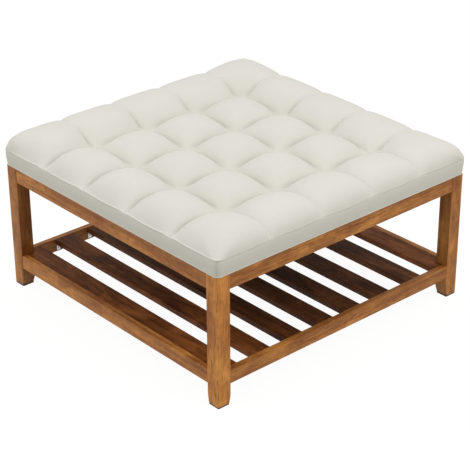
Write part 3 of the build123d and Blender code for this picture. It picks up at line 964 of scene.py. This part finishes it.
def build_side_band(number, sizes):
    """One side strip, rounded at its ends, where it turns in at the corner seams."""
    profile = np.array(BAND_FACE + BAND_HEM + BAND_BACK)
    ring_size, face, back = len(profile), len(BAND_FACE), len(BAND_FACE + BAND_HEM)
    bulging = np.arange(ring_size) < face + 3
    straight = FRAME_REACH - BAND_CORNER
    bend = np.linspace(0, math.pi / 4, len(TUCKS))[1:]
    middle = np.linspace(-straight, straight, BAND_STEPS + 1)
    ends = np.full(len(bend), straight)
    place = np.concatenate([-ends, middle, ends])[:, None]
    angle = np.concatenate([-bend[::-1], middle * 0, bend])[:, None]
    tucked = np.concatenate([TUCKS[:0:-1], middle * 0, TUCKS[1:]])[:, None]
    rise = np.where(angle == 0, seam_rise((place + SEAM_REACH) / PITCH, number, sizes), 0.0)
    tall = sizes.seam_height + rise - FRAME_TOP
    level = profile[:, 1] * tall + profile[:, 2] * MM
    waist = np.maximum(0, 1 - np.abs(level / tall - 0.5) * BAND_WAIST)
    bulge = BAND_BULGE * ripple(place * 60, 41 + number) * waist * bulging
    off = BAND_CORNER + profile[:, 0] * MM + np.zeros_like(level)
    off[:, :back] += SEAM_REACH - FRAME_REACH
    inside = off < 0
    off += bulge
    off[:, :face] -= tucked
    off[:, face:back] -= tucked * HEM_TUCK
    x = place + off * np.where(inside, np.tan(angle), np.sin(angle))
    y = -straight - off * np.where(inside, 1.0, np.cos(angle))
    points = np.stack([x, y, FRAME_TOP + level], axis=-1)
    belt = points[:, face - 2]  # the line along which the weave is measured
    run = np.linalg.norm(np.diff(belt, axis=0, prepend=belt[:1]), axis=-1).cumsum()
    climb = np.linalg.norm(np.diff(points, axis=1, prepend=points[:, :1]), axis=-1).cumsum(axis=1)
    uvs = np.stack([run[:, None] + 0 * climb, climb], axis=-1).reshape(-1, 2)
    sections = len(points)
    faces = grid_faces(sections, ring_size, wrap=True)
    faces.append(list(range(ring_size)))
    faces.append([(sections - 1) * ring_size + n for n in reversed(range(ring_size))])
    turn = Matrix.Rotation(number * math.pi / 2, 3, "Z")
    flat = points.reshape(-1, 3) @ np.array(turn).T
    piece = make_piece(f"side_band_{SIDES[number]}_cover", flat, faces, uvs)
    # painted shade mark along the top of the band, under the seam
    mark(piece, "fold", np.tile(BAND_SEAM_SHADE + (0.0,) * (ring_size - len(BAND_SEAM_SHADE)), sections))
    return piece


# Stitches, screws, staples and dust cloth

BRACKET_INSET = 2 * MM  # long edge of a slat to the bracket's edge
BRACKET_HALF = 5 * MM  # half the width of a bracket
BRACKET_GAUGE = 2 * MM
BRACKET_LEG = 17 * MM
STAPLE_INSET = 9 * MM  # edge of the dust cloth to the staples
STAPLE_DROP = 3 * MM
CLOTH_STEPS = 90
CLOTH_THICK = 0.5 * MM
CLOTH_GAP = 0.2 * MM  # to the deck above
CLOTH_PUCKER = 0.7 * MM  # height of the waves between the staples
CLOTH_CREASE = 0.6 * MM
SEAM_DROP = 0.3 * MM  # how far the seam's thread lies below the ring that marks it
CORNER_SEAM_INSETS = (1.1 * MM, 2.4 * MM)  # of the corner seams at the top and at the foot
CORNER_SEAM_END = 6 * MM
TIE_GAP = 1.6  # middle of a tuft to each of its threads, in radii of the thread


def thread_recipe(name, sizes, pitch, along, material):
    """Short threads laid end to end along a path."""
    recipe = Recipe(name, {"Pitch": pitch, "Length": along, "Radius": sizes.thread_radius})
    ball = recipe.node("GeometryNodeMeshUVSphere", None, {"Segments": 8, "Rings": 6, "Radius": 1.0})
    scale = recipe.vector(recipe.size("Radius"), recipe.size("Radius"), recipe.size("Length") * 0.5)
    thread = recipe.node("GeometryNodeTransform", None, {"Geometry": ball, "Scale": scale})
    return recipe.finish(recipe.copies_along(thread, "Z"), material)


def seam_lines():
    """The seam round the top panel and the four upright corner seams."""
    cushion = bpy.data.objects["tufted_cushion"].data
    marks = np.zeros(len(cushion.vertices))
    cushion.attributes["seam"].data.foreach_get("value", marks)
    places = np.zeros(len(marks) * 3)
    cushion.vertices.foreach_get("co", places)
    ring = places.reshape(-1, 3)[marks == 1] - (0, 0, SEAM_DROP)
    lines = [(ring, True)]
    straight = FRAME_REACH - BAND_CORNER
    high, low = (straight + (SEAM_CORNER - inset) / math.sqrt(2) for inset in CORNER_SEAM_INSETS)
    top, foot = float(ring[:, 2].mean()) - CORNER_SEAM_END, FRAME_TOP + CORNER_SEAM_END
    for x, y in ((-1, -1), (1, -1), (1, 1), (-1, 1)):
        lines.append(([(high * x, high * y, top), (low * x, low * y, foot)], False))
    return lines


def tuft_bottom(x, y):
    """Height of the cushion's cover at a tuft."""
    cushion = bpy.data.objects["tufted_cushion"]
    hit, place, _, _ = cushion.ray_cast(Vector((x, y, CREST + 0.1)), Vector((0, 0, -1)))
    if not hit:
        raise RuntimeError("no cover was found under a tuft")
    return place.z


def tuft_ties(sizes):
    """Two short threads side by side at the bottom of each tuft."""
    lines = []
    for column in range(1, BISCUITS):
        for row in range(1, BISCUITS):
            x, y = (column - MIDDLE) * PITCH, (row - MIDDLE) * PITCH
            z = tuft_bottom(x, y)
            for side in (-1, 1):
                off = side * sizes.thread_radius * TIE_GAP
                lines.append(([(x, y + off, z), (x + sizes.tuft_stitch, y + off, z)], False))
    return lines


def screw_seeds():
    """Bracket screws: a bracket sits near each long edge of a slat, clear of the legs."""
    reach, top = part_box("slat_brackets")[1].xz
    along = (BRACKET_LEG + BRACKET_GAUGE) / 2
    places, facings = [], []
    for number in range(1, SLATS + 1):
        low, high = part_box(f"slat_{number}")
        inset = BRACKET_INSET + BRACKET_HALF
        for y in (low.y + inset, high.y - inset):
            if abs(y) > LEG_LOW.x - BRACKET_HALF:
                continue
            for side in (-1, 1):
                places.append((side * (reach - BRACKET_GAUGE), y, top - along))
                places.append((side * (reach - along), y, top - BRACKET_GAUGE))
                facings += [(-side, 0, 0), (0, 0, -1)]
    return places, facings


def screw_recipe(sizes, material):
    """Pan heads with a cross recess, each facing the way that its seed says."""
    inputs = {
        "Radius": sizes.screw_radius,
        "Height": sizes.screw_height,
        "Recess length": sizes.recess_length,
        "Recess width": sizes.recess_width,
    }
    recipe = Recipe("bracket_screws", inputs)
    radius, height, arm, width = (recipe.size(name) for name in inputs)
    cone = {"Vertices": 20, "Radius Top": radius * 0.72, "Radius Bottom": radius, "Depth": height}
    pan = recipe.node("GeometryNodeMeshCone", None, cone)
    deep = height * 1.4
    arms = [recipe.block(*size, shift=(0, 0, height)) for size in ((arm, width, deep), (width, arm, deep))]
    settings = {"operation": "DIFFERENCE", "solver": "EXACT"}
    head = recipe.node("GeometryNodeMeshBoolean", settings, {"Mesh 1": pan, "Mesh 2": arms})
    vectors = {"data_type": "FLOAT_VECTOR"}
    facing = recipe.node("GeometryNodeInputNamedAttribute", vectors, {"Name": "facing"})
    return recipe.finish(recipe.copies(head, recipe.size("Geometry"), facing, "Z"), material)


def dust_outline(inset):
    """The dust cloth is a square with its corners cut off: its reach, and x + y along the cuts."""
    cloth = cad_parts["dust_cover"].data.vertices
    limit = max(abs(v.co.x) + abs(v.co.y) for v in cloth)
    return DUST_HIGH.x - inset, limit - inset * math.sqrt(2)


def build_dust_cloth(sizes):
    """Black cloth under the deck, held by its staples and sagging a little between them."""
    reach, limit = dust_outline(0.0)
    even = np.linspace(-1, 1, CLOTH_STEPS + 1)
    u, v = np.meshgrid(even, even, indexing="ij")
    far = np.maximum(np.maximum(np.abs(u), np.abs(v)), TINY)
    slant = np.maximum(np.abs(u) + np.abs(v), TINY) / far
    cut = np.minimum(1, limit / reach / np.maximum(slant, TINY))
    edge = 1 - far
    sag = sizes.cloth_sag * (1 - np.exp(-edge * 5)) * (1 - 0.15 * (u**2 + v**2))
    waves = 4 * round(2 * reach / sizes.staple_pitch)
    pucker = CLOTH_PUCKER * (np.sin(np.arctan2(v, u) * waves) * bell(edge, 0.07) - 1)
    creases = CLOTH_CREASE * ripple(u * 9 + v * 4, 71) * (1 - np.exp(-edge * 8))
    top = np.minimum(DUST_HIGH.z - CLOTH_GAP - sag + pucker * (edge > 0) + creases, DUST_HIGH.z)
    over = np.stack([u * reach * cut, v * reach * cut, top], axis=-1).reshape(-1, 3)
    under = over - (0, 0, CLOTH_THICK)
    count = CLOTH_STEPS + 1
    faces = grid_faces(count, count, len(under))
    faces += [face[::-1] for face in grid_faces(count, count)]
    rim = rim_order(count)
    faces += ring_faces([n + len(under) for n in rim], rim)
    return make_piece("dust_cloth", np.concatenate([under, over]), faces)


def staple_line():
    """The line of the staples, a little inside the edge of the dust cloth."""
    reach, limit = dust_outline(STAPLE_INSET)
    cut = limit - reach
    height = DUST_HIGH.z - STAPLE_DROP
    points = []
    for turn in range(4):
        spin = Matrix.Rotation(turn * math.pi / 2, 3, "Z")
        points += [spin @ Vector((x, y, height)) for x, y in ((-reach, -cut), (-cut, -reach))]
    return points


def staple_recipe(sizes, material):
    """Wire staples end to end along a path, each with its two bent-up legs."""
    inputs = {"Pitch": sizes.staple_pitch, "Width": sizes.staple_width, "Wire": sizes.staple_wire}
    recipe = Recipe("staples", inputs)
    width, wire = recipe.size("Width"), recipe.size("Wire")
    thin, leg = wire * 0.6, wire * 2.2
    parts = [recipe.block(width, wire, thin)]
    for side in (-0.5, 0.5):
        parts.append(recipe.block(thin, wire, leg, (width * side, 0, leg * 0.4)))
    staple = recipe.node("GeometryNodeJoinGeometry", None, {"Geometry": parts})
    return recipe.finish(recipe.copies_along(staple, "X"), material)


# Operators


def dress(piece):
    """Puts a piece of the scene on the table's one body."""
    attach(piece, "root")


class Maker:
    """An operator that makes or finishes something by one group of sizes."""

    bl_options = {"REGISTER", "UNDO"}

    def execute(self, context):
        self.make(getattr(context.scene, self.group))
        return {"FINISHED"}


class OTTOMAN_OT_finish_frame(Maker, bpy.types.Operator):
    """Gives legs, rails and slats their stained and lacquered wood"""

    bl_idname = "ottoman.finish_frame"
    bl_label = "Finish frame"
    group = "ottoman_wood"

    def make(self, sizes):
        for number, corner in enumerate(CORNERS):
            # per-leg factor: stain with painted light and shade
            wood = stained_wood(f"leg_wood_{corner}", "z", 3 + number, sizes, LEG_STAIN_AND_SHADE[number])
            coat(f"leg_{corner}", wood)
        for number, side in enumerate(SIDES):
            for level, start in (("upper", 11), ("lower", 21)):
                name = f"{level}_rail_{side}"
                coat(name, stained_wood(f"{name}_wood", "xyxy"[number], start + number, sizes))
        # painted light, shade and sheen, one factor per slat
        for number, tone_and_shading in enumerate(SLAT_LIGHT_AND_SHADE, 1):
            wood = stained_wood(f"slat_wood_{number}", "x", 30 + number, sizes, tone_and_shading, True)
            coat(f"slat_{number}", wood)


class OTTOMAN_OT_finish_inside(Maker, bpy.types.Operator):
    """Gives the blocks, deck, foam, tapes, bolts and pads their finishes"""

    bl_idname = "ottoman.finish_inside"
    bl_label = "Finish inner parts"
    group = "ottoman_fittings"

    def make(self, sizes):
        pine = ((0.48, 0.30, 0.15), (0.66, 0.46, 0.27))
        for number, corner in enumerate(CORNERS):
            coat(f"corner_block_{corner}", raw_wood(f"block_wood_{corner}", "x", pine, number))
        coat("deck_board", plywood_finish("deck_plywood"))
        coat("foam_core", foam_finish("seat_foam"))
        coat("tuft_tapes", plain_cloth("tuft_tape", (0.66, 0.63, 0.54), (0.78, 0.75, 0.67), 1.2 * MM))
        zinc = zinc_finish("zinc_plate", sizes)
        for node in ("slat_brackets", "hanger_bolts", "hanger_washers", "hanger_nuts", "deck_screws"):
            coat(node, zinc)
        coat("foot_glides", pad_finish("foot_pad_plastic"))


class OTTOMAN_OT_tufted_cushion(Maker, bpy.types.Operator):
    """Makes the tufted top of the cushion"""

    bl_idname = "ottoman.tufted_cushion"
    bl_label = "Tufted cushion"
    group = "ottoman_cushion"

    def make(self, sizes):
        piece = build_tufted_cushion(sizes)
        piece.data.materials.append(woven_cloth("cover_cloth", sizes))
        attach(piece, "root")
        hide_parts("tufted_top")


class OTTOMAN_OT_side_bands(Maker, bpy.types.Operator):
    """Makes the four side strips of the cushion"""

    bl_idname = "ottoman.side_bands"
    bl_label = "Side bands"
    group = "ottoman_cushion"

    def make(self, sizes):
        cloth = woven_cloth("side_cloth", sizes)
        for number, side in enumerate(SIDES):
            piece = build_side_band(number, sizes)
            piece.data.materials.append(cloth)
            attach(piece, "root")
            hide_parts(f"side_band_{side}")


class OTTOMAN_OT_stitches(Maker, bpy.types.Operator):
    """Sews the top panel to the side bands, the bands to one another, and ties the tufts"""

    bl_idname = "ottoman.stitches"
    bl_label = "Stitches"
    group = "ottoman_seams"

    def make(self, sizes):
        stitch, tie = sizes.stitch_length, sizes.tuft_stitch
        thread = plain_cloth("sewing_thread", (0.74, 0.71, 0.62), (0.84, 0.82, 0.75), 0.4 * MM)
        seams = thread_recipe("seam_stitches", sizes, sizes.stitch_pitch, stitch, thread)
        dress(seams.grow(make_path("seam_stitches", seam_lines())))
        ties = thread_recipe("tuft_ties", sizes, tie * 3, tie, thread)
        dress(ties.grow(make_path("tuft_ties", tuft_ties(sizes))))


class OTTOMAN_OT_bracket_screws(Maker, bpy.types.Operator):
    """Puts a screw into each leg of the slat brackets"""

    bl_idname = "ottoman.bracket_screws"
    bl_label = "Bracket screws"
    group = "ottoman_fittings"

    def make(self, sizes):
        places, facings = screw_seeds()
        seeds = make_piece("bracket_screws", places)
        mark(seeds, "facing", facings, "FLOAT_VECTOR", "vector")
        dress(screw_recipe(sizes, zinc_finish("screw_zinc", sizes)).grow(seeds))


class OTTOMAN_OT_dust_cloth(Maker, bpy.types.Operator):
    """Hangs the dust cloth under the deck and staples it"""

    bl_idname = "ottoman.dust_cloth"
    bl_label = "Dust cloth"
    group = "ottoman_fittings"

    def make(self, sizes):
        cloth = build_dust_cloth(sizes)
        black = plain_cloth("dust_cloth", (0.012, 0.012, 0.013), (0.03, 0.03, 0.032), 0.9 * MM)
        cloth.data.materials.append(black)
        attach(cloth, "root")
        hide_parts("dust_cover")
        staples = make_path("staples", [(staple_line(), True)])
        dress(staple_recipe(sizes, zinc_finish("staple_zinc", sizes)).grow(staples))
        width = 2 * DUST_HIGH.x
        reach, limit = dust_outline(0.0)
        area = width**2 - 2 * (2 * reach - limit) ** 2


class OTTOMAN_OT_stage(Maker, bpy.types.Operator):
    """Makes the floor, the light and the camera"""

    bl_idname = "ottoman.stage"
    bl_label = "Stage"
    group = "ottoman_stage"

    def make(self, sizes):
        build_floor(sizes)
        for build in (build_sky, build_lamps, build_camera):
            build(bpy.context.scene, sizes)


# Stage

FLOOR_HALF = 60.0
STUDIO_TINT = (1, 0.97, 0.92)
CAMERA_TURN = math.radians(48.601)  # this and the next four are fitted to the photo
CAMERA_RISE = math.radians(27.332)
CAMERA_ROLL = math.radians(-0.336)
CAMERA_AIM = (0.56105, -0.48943, 0.53804)
CAMERA_RANGE = 3.18420
LAMPS = (  # name, place, height of the point it is aimed at, size, tint
    ("key", (-0.8, -2.6, 2.3), 0.3, 1.8, STUDIO_TINT),
    ("fill", (2.6, 0.8, 2.2), 0.3, 1.8, STUDIO_TINT),
    ("rim", (-1.5, 1.4, 3.0), 0.4, 2.2, (1, 1, 1)),
)


def build_floor(sizes):
    """A wide floor that gives off white light by itself and shows little shade."""
    corners = [(x * FLOOR_HALF, y * FLOOR_HALF, 0) for x, y in ((-1, -1), (1, -1), (1, 1), (-1, 1))]
    floor = make_piece("floor", corners, [(0, 1, 2, 3)])
    shader = Shader("floor_paint")
    lighter = tinted(sizes.floor_colour, sizes.floor_share)
    material = shader.finish(
        base_color=shader.mix(shader.noise(shader.place(), 0.8), lighter, tinted(lighter, 0.97)),
        roughness=0.9,
        specular_ior_level=0.0,
        emission_color=(1.0, 1.0, 1.0),
        emission_strength=sizes.floor_glow,
    )
    floor.data.materials.append(material)
    floor.visible_diffuse = False


def build_lamps(scene, sizes):
    """Three square studio lights."""
    for name, place, aim, size, tint in LAMPS:
        light = bpy.data.lights.new(name, "AREA")
        light.shape = "SQUARE"
        light.size = size
        light.energy = getattr(sizes, f"{name}_power")
        light.color = tint
        lamp = bpy.data.objects.new(name, light)
        lamp.location = place
        lamp.rotation_mode = "QUATERNION"
        lamp.rotation_quaternion = (Vector((0, 0, aim)) - Vector(place)).to_track_quat("-Z", "Y")
        scene.collection.objects.link(lamp)


def build_sky(scene, sizes):
    """Light from all round: white above, dimmer and warmer below the horizon."""
    world = bpy.data.worlds.new("studio")
    world.use_nodes = True
    sky = Nodes(world.node_tree)
    where = sky.node("ShaderNodeTexCoord", output="Generated")
    height = sky.node("ShaderNodeSeparateXYZ", None, {0: where}, output="Z")
    ramp = sky.node("ShaderNodeValToRGB", None, {0: height * 0.5 + 0.5})
    low, level = sizes.ground_share, sizes.horizon_share
    stops = ((0.0, low), (0.49, low), (0.51, level), (0.8, 1.0))
    elements = ramp.socket.node.color_ramp.elements
    while len(elements) < len(stops):
        elements.new(0.5)
    for element, (place, level) in zip(elements, stops):
        element.position = place
        element.color = (level, level * (0.95 + 0.05 * level), level * (0.62 + 0.38 * level), 1.0)
    background = world.node_tree.nodes["Background"]
    sky.tree.links.new(ramp.socket, background.inputs["Color"])
    background.inputs["Strength"].default_value = sizes.sky_strength
    scene.world = world
    scene.view_settings.view_transform = "Standard"
    scene.view_settings.look = "None"


def build_camera(scene, sizes):
    """The camera where the photo was taken from."""
    turn, rise, roll = CAMERA_TURN, CAMERA_RISE, CAMERA_ROLL
    back = Vector((math.sin(turn) * math.cos(rise), -math.cos(turn) * math.cos(rise), math.sin(rise)))
    right = Vector((math.cos(turn), math.sin(turn), 0))
    up = back.cross(right)
    level = right * math.cos(roll) + up * math.sin(roll)
    upright = up * math.cos(roll) - right * math.sin(roll)
    data = bpy.data.cameras.new("camera")
    data.lens = sizes.lens
    data.sensor_width = 36.0
    camera = bpy.data.objects.new("camera", data)
    camera.rotation_mode = "QUATERNION"
    camera.rotation_quaternion = Matrix((level, upright, back)).transposed().to_quaternion()
    camera.location = Vector(CAMERA_AIM) + back * CAMERA_RANGE
    scene.collection.objects.link(camera)
    scene.camera = camera


# Panel and registration


class OTTOMAN_PT_sidebar(bpy.types.Panel):
    """Lists what this add-on makes"""

    bl_idname = "OTTOMAN_PT_sidebar"
    bl_label = "Ottoman coffee table"
    bl_space_type = "VIEW_3D"
    bl_region_type = "UI"
    bl_category = "Ottoman"

    def draw(self, context):
        for operator in OPERATORS:
            self.layout.operator(operator.bl_idname)
        for name in GROUPS:
            box = self.layout.box()
            group = getattr(context.scene, name)
            for key in group.bl_rna.properties.keys():
                if key not in ("rna_type", "name"):
                    box.prop(group, key)


OPERATORS = (
    OTTOMAN_OT_finish_frame,
    OTTOMAN_OT_finish_inside,
    OTTOMAN_OT_tufted_cushion,
    OTTOMAN_OT_side_bands,
    OTTOMAN_OT_stitches,
    OTTOMAN_OT_bracket_screws,
    OTTOMAN_OT_dust_cloth,
    OTTOMAN_OT_stage,
)
GROUPS = {
    "ottoman_cushion": CushionSizes,
    "ottoman_seams": SeamSizes,
    "ottoman_wood": WoodSizes,
    "ottoman_fittings": FittingSizes,
    "ottoman_stage": StageSizes,
}
CLASSES = (*GROUPS.values(), *OPERATORS, OTTOMAN_PT_sidebar)


def register():
    for kind in CLASSES:
        bpy.utils.register_class(kind)
    for name, group in GROUPS.items():
        setattr(bpy.types.Scene, name, PointerProperty(type=group))


def unregister():
    for name in GROUPS:
        delattr(bpy.types.Scene, name)
    for kind in reversed(CLASSES):
        bpy.utils.unregister_class(kind)


def main():
    register()
    for operator in OPERATORS:
        family, name = operator.bl_idname.split(".")
        getattr(getattr(bpy.ops, family), name)()


if __name__ == "__main__":
    main()
